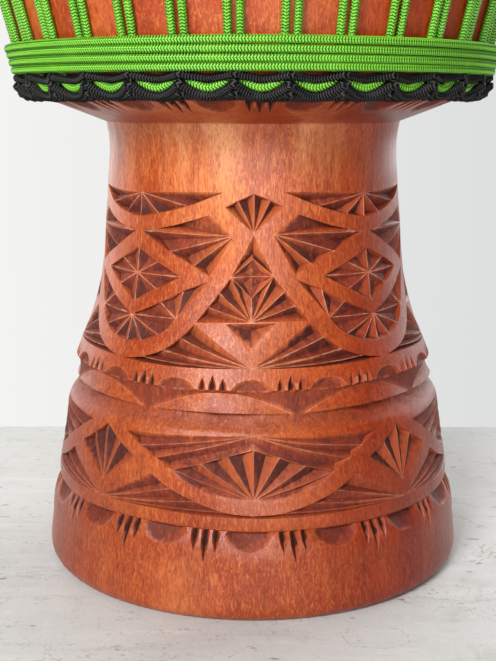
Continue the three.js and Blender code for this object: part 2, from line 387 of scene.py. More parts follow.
def centre_carving(s):
    """The middle of each quarter: a hollow and pyramid, a fan, a chevron with its pit, and a fan."""
    tip, hollow, brow = (0, 199.4), (0, 189.6, 3.2), (0, 187, 0.9)
    middle, chin, corner = (0, 178, 0.7), (0, 166.7, 0.9), (7.4, 177.8)
    upper_pit, upper_wall = (0, 182, 1.9), (2.8, 180.2, 2.5)
    lower_pit, lower_wall = (0, 173, 1.9), (2.9, 174.2, 2.6)
    s.line(tip, (3.8, 188), corner, worn=0.5)
    s.line(tip, hollow, brow)
    s.line(hollow, (4.2, 183.6, 2.8), corner)
    s.line(brow, corner, worn=1.0)
    s.line(brow, upper_pit, middle)
    s.line(middle, corner, worn=1.0)
    s.line(upper_pit, upper_wall, corner)
    s.line(brow, upper_wall, middle)
    s.line(chin, corner, worn=1.0)
    s.line(middle, lower_pit, chin)
    s.line(lower_pit, lower_wall, corner)
    s.line(middle, lower_wall, chin)
    apex = (0, 154.6)
    s.line(apex, chin, worn=1.0)
    s.line(apex, (3.6, 171, 3.0), chin)
    s.line((3.6, 171, 3.0), corner)
    s.fan(apex, [corner, (9.2, 173.6), (11.2, 169.7), (12.9, 166), (14.7, 162.4), (16.6, 158.4),
                 (18.4, 154.6)], 2, first=True)
    chevron, pit, foot = (8.7, 154.1), (0, 149.6, 3.6), (0, 141.2)
    s.line(chevron, (0, 154.1), worn=0.8)
    s.line((0, 154.1), pit, foot)
    s.line(chevron, foot, worn=0.6)
    s.line(pit, chevron)
    edge = smooth_line([(18.7, 153.7), (23.5, 146), (29, 139.2), (36.5, 134.2), (44, 131.8)], 3)
    s.fan((0, 131.8), edge, 3)


def lower_carving():
    """The lower tier: hanging arcs with fans in them, small diamonds between, and long fans below."""
    s = Strip(QUARTER_HALF, TIER_SEAM, LEAF_SEAM, 2.0)
    top, crown, foot, knee = (0, 98.6), (0, 95.2, 1.2), (0, 65.4), (22.4, 78.2)
    shoulder, shade = (27.1, 83.5), (23.2, 81.4, 3.0)
    s.chip(top, [(37.5, 95.6), (34.6, 92.2), (31.8, 89)], 2.8, first=False)
    s.chip(top, [(31.8, 89), (29.4, 86.2), shoulder], 2.6)
    crest = [(0, 91.8), (7.1, 87.6, 0.6), (14.3, 82.6, 0.6), knee]
    s.line(top, crown, crest[0])
    s.line(crown, shade)
    s.line(shoulder, shade, knee)
    s.line(shoulder, (24.6, 80.7), knee, worn=0.5)
    s.line(*crest, worn=1.0)
    s.line(top, (14, 91.1, 0.5), shoulder, worn=1.0)
    s.fan(foot, crest, depth=3.2, first=True, last=True)
    arc = smooth_line([knee, (20, 74.3), (13, 68.4), (5, 65.8), foot], 3)
    s.line(*[tuple(p) for p in arc], worn=0.5)
    for p in [(20, 74.3), (13, 68.4), knee, (5, 65.8)]:
        s.line((13.4, 71.4, 2.0), p)
    s.fan((45, 65.6), [(45, 96.2), (39.4, 88.6), (33.3, 81.4)], depth=3.2, first=True)
    low = smooth_line([(28.6, 75.2), (22.4, 68.1), (15.3, 62.8), (7.5, 58.8), (0, 57.6)], 3)
    long_apex, crevice, crevice_end = (45, 56.6), (7.5, 57.1, 2.2), (0, 56.9, 2.0)
    s.fan(long_apex, low[:10], 3, 2.8, last=True)
    s.line(*low[9:13], worn=0.5)
    s.line(long_apex, crevice, crevice_end, (0, 57.6))
    s.line(crevice, low[9])
    s.line(long_apex, (0, 56.2), worn=0.4)
    s.line((0, 56.2), crevice_end)
    return s


LEAF_ARC = [(0, 119.0), (6, 118.3), (13, 114.6), (20.6, 108.8)]
LEAF_FOOT = [(0, 109.4), (10, 109.3), (20.6, 108.8)]


def underlip_carving():
    """Smooth leaves that stand out of the rough hollow under the lip, each undercut along its foot."""
    s = Strip(LEAF_HALF, LEAF_SEAM, LEAF_TOP, 1.85, underlip_tone, only_cut=False)
    arc = [(a, z, 1.5 - 0.07 * a) for a, z in smooth_line(LEAF_ARC, 4)]
    foot = [(a, z, -2.2 + 0.1 * a) for a, z in smooth_line(LEAF_FOOT, 5)]
    ledge = [(a, z - 0.6 + 0.03 * a, 2.8 - 0.13 * a) for a, z in smooth_line(LEAF_FOOT, 5)][:-1]
    s.line(*arc, worn=0.8)
    s.line(*foot, worn=0.2)
    s.line(*ledge, foot[-1])
    s.line((0, 104.5, 1.6), (LEAF_HALF, 105.5, 1.2))
    s.line((20.6, 108.8, 0), (LEAF_HALF, 109.4, 0.4))
    return s


def underlip_tone(angle, height):
    """Rough and dark above the leaves, clean on them, and fading to the plain wood below."""
    top = np.interp(angle, *np.array(smooth_line(LEAF_ARC, 4)).T)
    foot = np.interp(angle, *np.array(smooth_line(LEAF_FOOT, 5)).T)
    leaf = (height < top + 0.2) & (height > foot - 0.3) & (angle < 20.7)
    around = np.interp(height, [99.6, 104, 108.5, 110], [0.15, 0.5, 0.6, 0.85])
    return np.where(leaf, 0.1, around)


MOON_TONE = 0.8
# Carved tones above 1 fill the notches with painted shade, almost black.
NOTCH_SHADE_TONE = 1.7
MOON_REACH = 6.8


def moon_and_notch_tone(angle, height):
    """Half-moons are scooped cleanly; the notches beside them get painted shade, almost black inside."""
    return np.where(angle < MOON_REACH, MOON_TONE, NOTCH_SHADE_TONE)


def half_moon(s, tip, base, half, depth):
    """A scoop that hangs from its straight base, half of it in the strip."""
    reach = base - tip
    arc = [(0, tip), (half * 0.42, tip + reach * 0.10), (half * 0.75, tip + reach * 0.40), (half, base)]
    s.line(*arc, worn=0.7)
    s.line((0, base, depth), (half * 0.7, base, depth * 0.8), (half, base))
    s.line((0, base, depth), (0, tip + reach * 0.35, depth * 0.7), (0, tip))
    s.line((0, tip + reach * 0.35, depth * 0.7), (half * 0.7, base, depth * 0.8))


def moons_and_notches(low, high, scale, moon, middle_notch, side_notch):
    """Half-moons with triple notches between them, all hanging from one edge.

    The moon and the middle notch are a tip, base, half width and depth; the side notch has its
    angle first.
    """
    s = Strip(MOON_HALF, low, high, scale, moon_and_notch_tone)
    half_moon(s, *moon)
    notch(s, MOON_HALF, *middle_notch)
    notch(s, *side_notch)
    return s


def foot_carving():
    """Half-moons and triple ticks hanging from the foot band's upper edge."""
    return moons_and_notches(FOOT_SEAM, FOOT_EDGE, 2.1, (38.6, 47.2, 6.3, 2.8),
                             (31.5, 47.2, 1.15, 3.4), (8.45, 37.4, 47.2, 1.1, 3.2))


def lip_carving():
    """Half-moons and triple notches along the lip's lower edge."""
    return moons_and_notches(LIP_SEAM, STEM_SEAM, 1.82, (126.8, 121.5, 6.0, 2.4),
                             (129, 121.5, 1.25, 3.0), (8.2, 127.6, 121.5, 1.15, 2.8))


def underside_carving():
    """Half-moons and long triple notches that hang from the outer edge of the bowl's underside."""
    return moons_and_notches(UNDERSIDE_ALONG[0], UNDERSIDE_ALONG[-1], 1.9, (100.2, 117, 6.3, 2.6),
                             (98.6, 117, 1.35, 3.6), (8.4, 99.8, 117, 1.2, 3.4))


def notch(s, angle, tip, base, half, depth):
    """A V cut that widens from its tip to its base."""
    middle = tip + (base - tip) * 0.55
    right = min(angle + half, s.width)
    s.line((angle, tip), (angle - half * 0.8, middle), (angle - half, base), worn=0.6)
    s.line((angle, tip), (angle, middle, depth * 0.75), (angle, base, depth))
    if right > angle:
        s.line((angle, tip), (angle + half * 0.8, middle), (right, base), worn=0.6)
        s.line((angle, base, depth), (right, base))
    s.line((angle, base, depth), (angle - half, base))


# ---- from flat strips to the round shell
def hand_made(angle, height):
    """How far the maker's hand strayed: a small shift in angle, in height and in radius."""
    a, z = np.radians(angle), height / 30
    fade = np.clip((height - 12) / 20, 0, 1) * np.clip((262 - height) / 20, 0, 1)
    turn = 0.35 * np.sin(2 * a + z) + 0.22 * np.sin(5 * a - 1.7 * z + 1)
    lift = 0.45 * np.sin(3 * a + 0.8 * z + 2) + 0.3 * np.sin(7 * a - z)
    swell = 0.3 * np.sin(2 * a + 0.5 * z + 1) + 0.16 * np.sin(9 * a + 2.1 * z)
    return turn * fade, lift * fade, swell * fade


def wrap_stem(angle, height, depth, radius):
    """Points on the stem, with the maker's wandering hand and the tool's small marks."""
    turn, lift, swell = hand_made(angle, height)
    tool_marks = 1 + 0.12 * np.sin(np.radians(angle) * 41 + height * 1.3)
    return on_circle(angle + turn, radius + swell - depth * tool_marks, height + lift)


STEM = [FOOT, [FOOT[-1], LOWER_TIER[0]], LOWER_TIER, [LOWER_TIER[-1], LIP[0]], LIP, FLARE]


def stem_radius(height):
    """The stem's outer radius at any height between the foot and the bowl."""
    radius = np.zeros(len(height))
    for part in STEM:
        low, high = part[0][1], part[-1][1]
        inside = (height >= low - 1e-6) & (height <= high + 1e-6)
        if len(part) > 2:
            radius[inside] = hermite(part, height[inside])
        else:
            radius[inside] = np.interp(height[inside], [low, high], [part[0][0], part[-1][0]])
    groove = np.clip(1 - abs(height - GROOVE["height"]) / GROOVE["reach"], 0, 1)
    return radius - GROOVE["depth"] * groove


def stem_rows(*heights):
    """(radius, height) rows of the stem."""
    heights = np.array(heights, float)
    return np.column_stack([stem_radius(heights), heights])


class Shell:
    """Collects the shell's patches: points, faces, carved depth, distance to pale worn and highlit edges,
    and tone.
    """

    def __init__(self):
        self.patches, self.count = [], 0

    def put(self, points, faces, *values):
        """Adds a patch; the values are its carved depth, distance to pale worn and highlit edges, and
        tone.
        """
        self.patches.append((points, faces + self.count, *values))
        self.count += len(points)

    def carve(self, strip, phase, place):
        """A band of the strip and its mirror image, repeated all the way round from the phase."""
        fine, tris, worn = strip.refine()
        angle, height, depth = fine[:, 0] / strip.scale, fine[:, 1], fine[:, 2]
        tone = strip.tone(angle, height) if callable(strip.tone) else strip.tone
        if strip.only_cut:
            tone = tone * np.clip(depth / FULLY_CUT, 0, 1)
        for k in range(round(360 / strip.width)):
            mirrored = k % 2 == 1
            turned = phase + k * strip.width + (strip.width - angle if mirrored else angle)
            faces = tris[:, ::-1] if mirrored else tris
            self.put(place(turned, height, depth), faces, depth, worn, tone)

    def turn(self, rows, tone=0.0):
        """A plain turned stretch through (radius, height) rows."""
        angles = np.arange(0, 360, STEP_ANGLE)
        r, z = np.array(rows, float).T
        grid_z = np.repeat(z, len(angles))
        points = wrap_stem(np.tile(angles, len(r)), grid_z, 0, np.repeat(r, len(angles)))
        flat = np.zeros(len(points))
        self.put(points, ring_faces(len(r), len(angles)), flat, flat + FAR_FROM_PALE_EDGE, flat + tone)

    def to_object(self, name):
        """The shell as one mesh that carries what its material needs to know."""
        points, faces, *values = zip(*self.patches)
        obj = add_mesh(name, np.vstack(points), [face for patch in faces for face in patch.tolist()])
        for key, patches in zip(("carved_depth", "worn_distance", "carved_tone"), values):
            attribute = obj.data.attributes.new(key, "FLOAT", "POINT")
            attribute.data.foreach_set("value", np.concatenate(patches).astype(np.float32))
        weld(obj)
        obj.data.set_sharp_from_angle(angle=math.radians(28))
        mark_slant(obj.data)
        return obj


def rows_of(outline, spacing):
    """(radius, height) rows along an outline, close enough together to look round."""
    p = smooth_line(outline, 6)
    length = np.r_[0, np.cumsum(np.hypot(*np.diff(p, axis=0).T))]
    at = np.linspace(0, length[-1], max(2, round(length[-1] / spacing)))
    return np.column_stack([np.interp(at, length, p[:, 0]), np.interp(at, length, p[:, 1])])


def place_stem(angle, height, depth):
    return wrap_stem(angle, height, depth, stem_radius(height))


def place_underside(angle, along, depth):
    """`along` is the radius out to the underside's edge, and then goes on up the bowl's foot."""
    radius, height = (np.interp(along, UNDERSIDE_ALONG, values) for values in zip(*UNDERSIDE))
    turn, lift, swell = hand_made(angle, height)
    return on_circle(angle + turn, radius + swell - 0.3 * depth, height + lift + 0.95 * depth)


def build_shell():
    """The shell from its foot up the outside, over the rim and down the bore."""
    shell = Shell()
    shell.turn(np.vstack([[(108, 0), (113, 0)], rows_of(FOOT[:5], 1.5), [(122.55, FOOT_SEAM)]]))
    shell.carve(foot_carving(), -STEP_ANGLE, place_stem)
    shell.turn(stem_rows(FOOT_EDGE, 49.2, TIER_SEAM))
    shell.carve(lower_carving(), 0, place_stem)
    shell.carve(underlip_carving(), -10 * STEP_ANGLE, place_stem)
    shell.turn(stem_rows(LEAF_TOP, LIP_SEAM), MOON_TONE)
    shell.carve(lip_carving(), 0, place_stem)
    shell.carve(upper_carving(), 0, place_stem)
    shell.turn(stem_rows(*np.linspace(FLARE_SEAM, FLARE[-1][1], 15)))
    shell.carve(underside_carving(), -10 * STEP_ANGLE, place_underside)
    shell.turn(BOWL_EDGE[1:])
    shell.turn(rows_of(BOWL[:-1], 8))
    shell.turn(rows_of([BOWL[-2], BOWL[-1], *BORE], 20))
    return shell.to_object("shell_carved")


def mark_slant(mesh):
    """Which way round the drum each face leans, which sets the painted light and shade on carved faces."""
    count = len(mesh.polygons)
    normal, middle = np.zeros(count * 3), np.zeros(count * 3)
    mesh.polygons.foreach_get("normal", normal)
    mesh.polygons.foreach_get("center", middle)
    normal, middle = normal.reshape(-1, 3), middle.reshape(-1, 3)
    round_it = np.column_stack([-middle[:, 1], middle[:, 0]])
    round_it /= np.maximum(np.linalg.norm(round_it, axis=1), 1e-6)[:, None]
    slant = mesh.attributes.new("slant", "FLOAT", "FACE")
    slant.data.foreach_set("value", (normal[:, :2] * round_it).sum(1).astype(np.float32))


# ==== ropes ====
def bowl_radius(height):
    """The bowl's outer radius beside the lacing."""
    wall = np.array(BOWL[:-3], float)
    return np.interp(height, wall[:, 1], wall[:, 0])


def spaced(points, step, closed=False):
    """Points spread evenly along a smooth line through the given ones."""
    p = np.array(points, float)
    if closed:
        p = np.vstack([p[-1:], p, p[:2]])
    fine = smooth_line(p, 8)
    if closed:
        fine = fine[8:-8]
    length = np.r_[0, np.cumsum(np.linalg.norm(np.diff(fine, axis=0), axis=1))]
    count = max(2, round(length[-1] / step / 2) * 2)
    at = np.linspace(0, length[-1], count + 1)
    out = np.column_stack([np.interp(at, length, fine[:, i]) for i in range(3)])
    return out[:-1] if closed else out


def across_and_up(line, closed):
    """Two directions at right angles to a line: sideways, and away from the drum's axis."""
    if closed:
        along = np.roll(line, -1, 0) - np.roll(line, 1, 0)
    else:
        along = np.gradient(line, axis=0)
    along = unit(along)
    side = unit(np.cross(along, unit(line * [1, 1, 0])))
    return side, np.cross(side, along)


def braided(name, points, closed=False, radius=BRAID_RADIUS):
    """A braided rope: every other corner of the tube stands proud, which makes the stitches."""
    line = spaced(points, STITCH / 2, closed)
    side, up = across_and_up(line, closed)
    n, k = len(line), ROPE_SIDES
    turn = 2 * np.pi * np.arange(k) / k
    proud = 1 - STITCH_RELIEF * ((np.arange(n)[:, None] + np.arange(k)[None, :]) % 2)
    ring = up[:, None] * np.cos(turn)[None, :, None] + side[:, None] * np.sin(turn)[None, :, None]
    verts = (line[:, None] + ring * (radius * proud)[..., None]).reshape(-1, 3)
    faces = ring_faces(n, k, closed).tolist()
    if not closed:
        faces += [list(range(k))[::-1], list(range((n - 1) * k, n * k))]
    obj = add_mesh(name, verts, faces)
    map_stitches(obj.data, n if closed else n - 1)
    return obj


def map_stitches(mesh, rows):
    """Two faces across and two along make one whole repeat of the braid's pattern."""
    row, column = np.arange(rows)[:, None], np.arange(ROPE_SIDES)[None, :]
    stitch = np.stack(np.broadcast_arrays(column / 2.0, row / 2.0), -1)
    corners = [stitch, stitch + [0.5, 0], stitch + [0.5, 0.5], stitch + [0, 0.5]]
    uv = np.stack(corners, 2).reshape(-1, 2)
    layer = mesh.uv_layers.new(name="braid")
    flat = np.zeros((len(layer.data), 2), np.float32)
    flat[:len(uv)] = uv
    layer.data.foreach_set("uv", flat.ravel())


def join(name, pieces):
    """One object from several."""
    bpy.ops.object.select_all(action="DESELECT")
    for piece in pieces:
        piece.select_set(True)
    bpy.context.view_layer.objects.active = pieces[0]
    bpy.ops.object.join()
    pieces[0].name = name
    return pieces[0]


RUN_HEIGHTS = [500, 450, 400, 350, 302]
LEG_CLEARANCE = ROPE_RADIUS + 0.4


def run(angle):
    """A taut leg of the lacing, from the head down the bowl."""
    slack = 0.25 * math.sin(angle * 1.7)
    return [on_circle(angle + slack * (z - RUN_HEIGHTS[-1]) / 200, bowl_radius(z) + LEG_CLEARANCE, z)
            for z in RUN_HEIGHTS]


def bend(centre, ends, middle):
    """In past the ends on one side, through the middle, and out past them on the other."""
    first, last = [[on_circle(centre + side * angle, radius, height) for angle, radius, height in ends]
                   for side in (-1, 1)]
    return [*first, on_circle(centre, *middle), *last[::-1]]


def top_bend(centre):
    """Over the crown ring, from one leg of a pair to the other."""
    out, up = CROWN_RING["radius"] + 6.8, CROWN_RING["height"]
    return bend(centre, [(LEG_ANGLE, out, FLESH_RING["height"] - 3), (LEG_ANGLE, out, up - 0.5)],
                (out - 0.2, up + 3))


def bottom_bend(centre):
    """The shallow swag under the cradle strand, from one pair of legs to the next."""
    half, out, up = PAIR_ANGLE / 2 - LEG_ANGLE, BOTTOM_RING["radius"] + 6, BOTTOM_RING["height"]
    return bend(centre, [(half, out + 0.5, up + 5.5), (half * 0.86, out, up + 0.6)],
                (out - 0.2, up - 2.6))


def tail_start(angle):
    """The point on the last leg where the tail begins."""
    height = TAIL_TOP + 22
    return on_circle(angle, bowl_radius(height) + LEG_CLEARANCE, height)


def lacing():
    """The one rope, in stretches: four quarters of legs and bends, then the tail's turns."""
    quarters = []
    per = PAIRS // 4
    for q in range(4):
        points = []
        for k in range(q * per, (q + 1) * per):
            pair = FIRST_PAIR_ANGLE + (k + 1) * PAIR_ANGLE
            points += run(pair - LEG_ANGLE)[::-1]
            points += top_bend(pair)
            points += run(pair + LEG_ANGLE)
            if k < PAIRS - 1:
                points += bottom_bend(pair + PAIR_ANGLE / 2)
        quarters.append(points)
    for before, after in zip(quarters, quarters[1:]):
        before.append(after[0])
    quarters[0] = bottom_bend(FIRST_PAIR_ANGLE + PAIR_ANGLE / 2)[1:] + quarters[0]
    last = FIRST_PAIR_ANGLE + PAIRS * PAIR_ANGLE + LEG_ANGLE
    quarters[-1][-1] = tail_start(last)
    pieces = [braided(f"lacing_{q + 1}", points) for q, points in enumerate(quarters)]
    pieces.append(braided("lacing_turns", tail(last)))
    return pieces


def tail(leg):
    """The last leg turns aside, winds round the bowl over the other legs, and tucks in at its end."""
    over_legs = 3 * ROPE_RADIUS + 1.0
    start = leg + 1.5
    points = [tail_start(leg),
              on_circle(leg + 0.3, bowl_radius(TAIL_TOP + 13) + 2.6, TAIL_TOP + 13),
              on_circle(start, bowl_radius(TAIL_TOP + 5) + over_legs - 2.4, TAIL_TOP + 5)]
    steps = 40
    last_step = steps * TAIL_TURNS - 2
    for i in range(1, last_step + 1):
        turn = i / steps
        z = min(max(TAIL_TOP - turn * TAIL_PITCH + TAIL_PITCH / 2, TAIL_LOWEST), TAIL_TOP)
        angle = start + 360 * turn
        settle = 0.22 * math.sin(math.radians(angle) * 3 + turn * 2)
        tuck = max(0, i - last_step + 2)
        out = bowl_radius(z) + over_legs + 0.5 * settle - 1.2 * tuck
        points.append(on_circle(angle, out, z + 0.3 * settle - 0.3 * tuck))
    return points


# Each lap of black rope: its name, then how far it stands out and up from its ring, first at a
# lacing bend and then midway to the next, then how it eases between the two, and its radius.
LOWER_LAPS = [
    ("loops", (4.8, 6.6), (11.2, 0.9), 1.9, 2.45),
    ("loops_back", (0.9, 7.2), (8.6, 5.0), 1.6, 2.4),
    ("loops_inner", (-2.5, 6.9), (4.5, 6.6), 1.6, 2.3),
]
LOWER_STRAND = ("lower_strand", (6.0, -1.5), (11.0, -3.5), 1.5, BRAID_RADIUS)
UPPER_LAPS = [
    ("crown_loops", (7.6, 7.6), (8.6, 0.8), 1.5, 2.2),
    ("crown_loops_back", (2.6, 8.6), (6.0, 5.0), 1.6, 2.4),
]
UPPER_STRAND = ("upper_strand", (11.0, -4.8), (7.0, -4.2), 1.5, BRAID_RADIUS)
LAP_STEPS = 16


def cradle(ring, centre, name, at_bend, midway, power, radius):
    """A closed rope round a ring, waving from bend to bend."""
    points = []
    for i in range(PAIRS * LAP_STEPS):
        ease = (abs(((i / LAP_STEPS + 0.5) % 1) - 0.5) * 2) ** power
        out, up = (a + (b - a) * ease for a, b in zip(at_bend, midway))
        angle = centre + i * PAIR_ANGLE / LAP_STEPS
        sway = 0.25 * math.sin(math.radians(angle) * 5) + 0.2 * math.sin(math.radians(angle) * 13)
        points.append(on_circle(angle, ring["radius"] + out + 0.3 * sway,
                                ring["height"] + (up + sway) * ring["side"]))
    return braided(name, points, closed=True, radius=radius)


def build_cradles():
    """The black ropes, in the order of CRADLE_NODES."""
    cradles = []
    for name, ring, centre, laps, strand in (
            ("lower_loops", BOTTOM_RING, FIRST_PAIR_ANGLE + PAIR_ANGLE / 2, LOWER_LAPS, LOWER_STRAND),
            ("upper_loops", CROWN_RING, FIRST_PAIR_ANGLE, UPPER_LAPS, UPPER_STRAND)):
        cradles.append(join(name, [cradle(ring, centre, *lap) for lap in laps]))
        cradles.append(cradle(ring, centre, *strand))
    return cradles


# ==== the head and its rings ====
SKIN_HALF = 0.5
SKIN_STEPS = 256
FOLD_RADIUS = 3.9
HEM_RISE = 3.6


def skin_line():
    """The middle of the skin's thickness, from the head's centre out, down, and round the flesh ring."""
    top = RIM_HEIGHT - 0.1
    head = [(r, top) for r in (0, 20, 50, 90, 130, 150)]
    edge = smooth_line([(150, top), (157.5, top + 0.2), (161, top - 0.9), (165.3, 588.3),
                        (168.3, 575.1), (169.3, 556), (169.3, 540), (169.3, 534)], 5)
    turn = np.radians(np.linspace(180, 360, 13))
    fold = [(FLESH_RING["radius"] + FOLD_RADIUS * math.cos(t),
             FLESH_RING["height"] + FOLD_RADIUS * math.sin(t)) for t in turn]
    hem = [(FLESH_RING["radius"] + FOLD_RADIUS, FLESH_RING["height"] + h) for h in (1.2, 2.4, HEM_RISE)]
    return np.array([*head[:-1], *edge[:-1], *fold, *hem], float)


def skin_sides():
    """The skin's inner and outer points: puckered towards its ring, with a rough cut hem."""
    line = skin_line()
    along = np.gradient(line, axis=0)
    across = unit(np.column_stack([-along[:, 1], along[:, 0]]))
    angles = np.arange(SKIN_STEPS) * 360 / SKIN_STEPS
    a = np.radians(angles)[None, :]
    reach = np.clip((556 - line[:, 1]) / 20, 0, 1)[:, None]
    pucker = 0.22 * reach * np.sin(a * PAIRS + 1.5 * np.sin(5 * a)) + 0.12 * reach * np.sin(61 * a)
    ragged = np.zeros((len(line), 1))
    ragged[-2:, 0] = (0.5, 1)
    ragged = ragged * (0.5 * np.sin(9 * a) + 0.45 * np.sin(23 * a + 1) + 0.3 * np.sin(57 * a))
    sides = []
    for side in (-SKIN_HALF, SKIN_HALF):
        r = line[:, :1] + across[:, :1] * side + pucker * abs(across[:, :1])
        z = line[:, 1:] + across[:, 1:] * side + ragged
        sides.append(on_circle(angles[None, :], np.maximum(r, 0.01), z).reshape(-1, 3))
    return len(line), sides


def build_skin():
    """A soaked goatskin pulled down over the rim and folded round its ring."""
    rows, sides = skin_sides()
    shift = rows * SKIN_STEPS
    inner = ring_faces(rows, SKIN_STEPS)
    c = np.arange(shift - SKIN_STEPS, shift)
    nxt = np.roll(c, -1)
    hem = np.column_stack([c, nxt, nxt + shift, c + shift])
    obj = add_mesh("goatskin_head", np.vstack(sides), np.vstack([inner, inner[:, ::-1] + shift, hem]))
    weld(obj)
    obj.data.set_sharp_from_angle(angle=math.radians(50))
    return obj


CLOTH_WIDTH = 11
CLOTH_STEPS = 9
CLOTH_SIDES = 14


def wound_cloth(name, ring, wrap):
    """A strip of cloth wound slantwise round a steel ring, each lap raised over the last."""
    laps = round(2 * math.pi * ring["radius"] / CLOTH_WIDTH)
    steps = laps * CLOTH_STEPS
    i = np.arange(steps)[:, None]
    j = np.arange(CLOTH_SIDES)[None, :]
    lap = (i / CLOTH_STEPS + j / CLOTH_SIDES) % 1
    section = 2 * np.pi * j / CLOTH_SIDES
    out = wrap - 0.55 * lap - 0.1 * np.sin(i * 1.3)
    r = ring["radius"] + out * np.cos(section)
    z = ring["height"] + out * np.sin(section)
    points = on_circle(i * 360 / steps, r, z).reshape(-1, 3)
    faces = ring_faces(steps, CLOTH_SIDES, closed=True)[:, [0, 3, 2, 1]]
    return add_mesh(name, points, faces, sharp=40)


# ==== materials ====
class Nodes:
    """Short calls for building a material's nodes."""

    def __init__(self, name):
        self.material = bpy.data.materials.new(name)
        self.material.use_nodes = True
        self.tree = self.material.node_tree
        self.shader = self.tree.nodes["Principled BSDF"]

    def add(self, kind, inputs=None, **settings):
        """A node, with its settings, and with values or links for its inputs."""
        node = self.tree.nodes.new(kind)
        for key, value in settings.items():
            setattr(node, key, value)
        for key, value in (inputs or {}).items():
            self.set(node.inputs[key], value)
        return node

    def set(self, socket, value):
        if isinstance(value, bpy.types.NodeSocket):
            self.tree.links.new(value, socket)
        elif socket.type == "RGBA":
            socket.default_value = (*value, 1)
        else:
            socket.default_value = value

    def surface(self, **inputs):
        """Sets the shader's inputs, with _ for each space in their names."""
        for key, value in inputs.items():
            self.set(self.shader.inputs[key.replace("_", " ")], value)

    def math(self, operation, *values):
        node = self.add("ShaderNodeMath", operation=operation)
        for socket, value in zip(node.inputs, values):
            self.set(socket, value)
        return node.outputs[0]

    def times(self, a, b):
        return self.math("MULTIPLY", a, b)

    def span(self, value, low, high, to_low=0.0, to_high=1.0, smooth=False):
        """The value from low..high spread over to_low..to_high, and held at its ends."""
        node = self.add("ShaderNodeMapRange", {"Value": value, "From Min": low, "From Max": high,
                                               "To Min": to_low, "To Max": to_high})
        node.interpolation_type = "SMOOTHSTEP" if smooth else "LINEAR"
        return node.outputs[0]

    def mix(self, factor, a, b, blend="MIX"):
        node = self.add("ShaderNodeMix", data_type="RGBA", blend_type=blend)
        self.set(node.inputs[0], factor)
        self.set(node.inputs[6], a)
        self.set(node.inputs[7], b)
        return node.outputs[2]

    def layers(self, colour, *layers):
        """The colour under others, each a value, where it starts and is full, a colour and a strength."""
        for value, start, full, top, strength in layers:
            colour = self.mix(self.times(self.span(value, start, full), strength), colour, top)
        return colour

    def noise(self, vector, scale, detail=3.0, roughness=0.5, distortion=0.0):
        node = self.add("ShaderNodeTexNoise", {"Scale": scale, "Detail": detail,
                                               "Roughness": roughness, "Distortion": distortion})
        self.set(node.inputs["Vector"], vector)
        return node.outputs["Fac"]

    def place(self, scale=(1, 1, 1), turn=(0, 0, 0)):
        """Object coordinates in metres, scaled and turned."""
        coords = self.add("ShaderNodeTexCoord")
        mapping = self.add("ShaderNodeMapping", {"Vector": coords.outputs["Object"],
                                                 "Scale": scale, "Rotation": turn})
        return mapping.outputs[0]

    def axes(self, vector):
        return self.add("ShaderNodeSeparateXYZ", {"Vector": vector}).outputs

    def attribute(self, name):
        return self.add("ShaderNodeAttribute", attribute_name=name).outputs["Fac"]

    def bump(self, height, distance, strength=1.0, normal=None):
        node = self.add("ShaderNodeBump", {"Height": height, "Distance": distance,
                                           "Strength": strength})
        if normal is not None:
            self.set(node.inputs["Normal"], normal)
        return node.outputs[0]


VARNISHED_RED = (0.40, 0.062, 0.012)
VARNISHED_ORANGE = (0.66, 0.165, 0.036)
# Painted highlight: pale satin patches on the upper stem, fainter on the bowl.
PAINTED_SATIN_HIGHLIGHT = (0.86, 0.42, 0.19)
PALE_FIGURE = (0.86, 0.36, 0.15)
DARK_FIGURE = (0.26, 0.038, 0.010)
BROAD_SHADE = (0.34, 0.050, 0.011)
DARK_STREAK = (0.24, 0.034, 0.009)
BRIGHT_CURL = (0.84, 0.31, 0.10)
DARK_CURL = (0.22, 0.030, 0.008)
CUT_WOOD = (0.24, 0.030, 0.008)
CUT_STREAK = (0.12, 0.015, 0.005)
CUT_CURL = (0.52, 0.10, 0.024)
# Painted highlight and painted shade for carved faces, by which way round the drum they turn.
CUT_TO_LIGHT = (0.47, 0.098, 0.022)
CUT_TO_SHADE = (0.055, 0.008, 0.004)
# Painted shade: almost black inside the notches.
NOTCH_PAINTED_SHADE = (0.045, 0.009, 0.005)
# Painted shade in the carving: the deeper the cut, the darker.
PAINTED_DEPTH_SHADE = (0.060, 0.010, 0.005)
FIBRE_BROWN = (0.13, 0.018, 0.007)
# Pale ridges: partly rubbed wear, partly a painted edge highlight.
WORN_AND_HIGHLIT_EDGE = (0.72, 0.33, 0.19)
# Darker towards the bottom.
LOW_DARKENING = (0.70, 0.58, 0.48)
# Painted shade, darker and redder, towards the right.
PAINTED_SHADE_RIGHT = (0.64, 0.34, 0.26)
# Painted shade, a little darker and browner, towards the left.
PAINTED_SHADE_LEFT = (0.86, 0.76, 0.68)
# A more orange tint on the bowl.
BOWL_TINT = (1.0, 0.84, 0.68)
# Painted shade on the bowl's underside, which faces down.
PAINTED_SHADE_UNDERSIDE = (0.62, 0.42, 0.40)


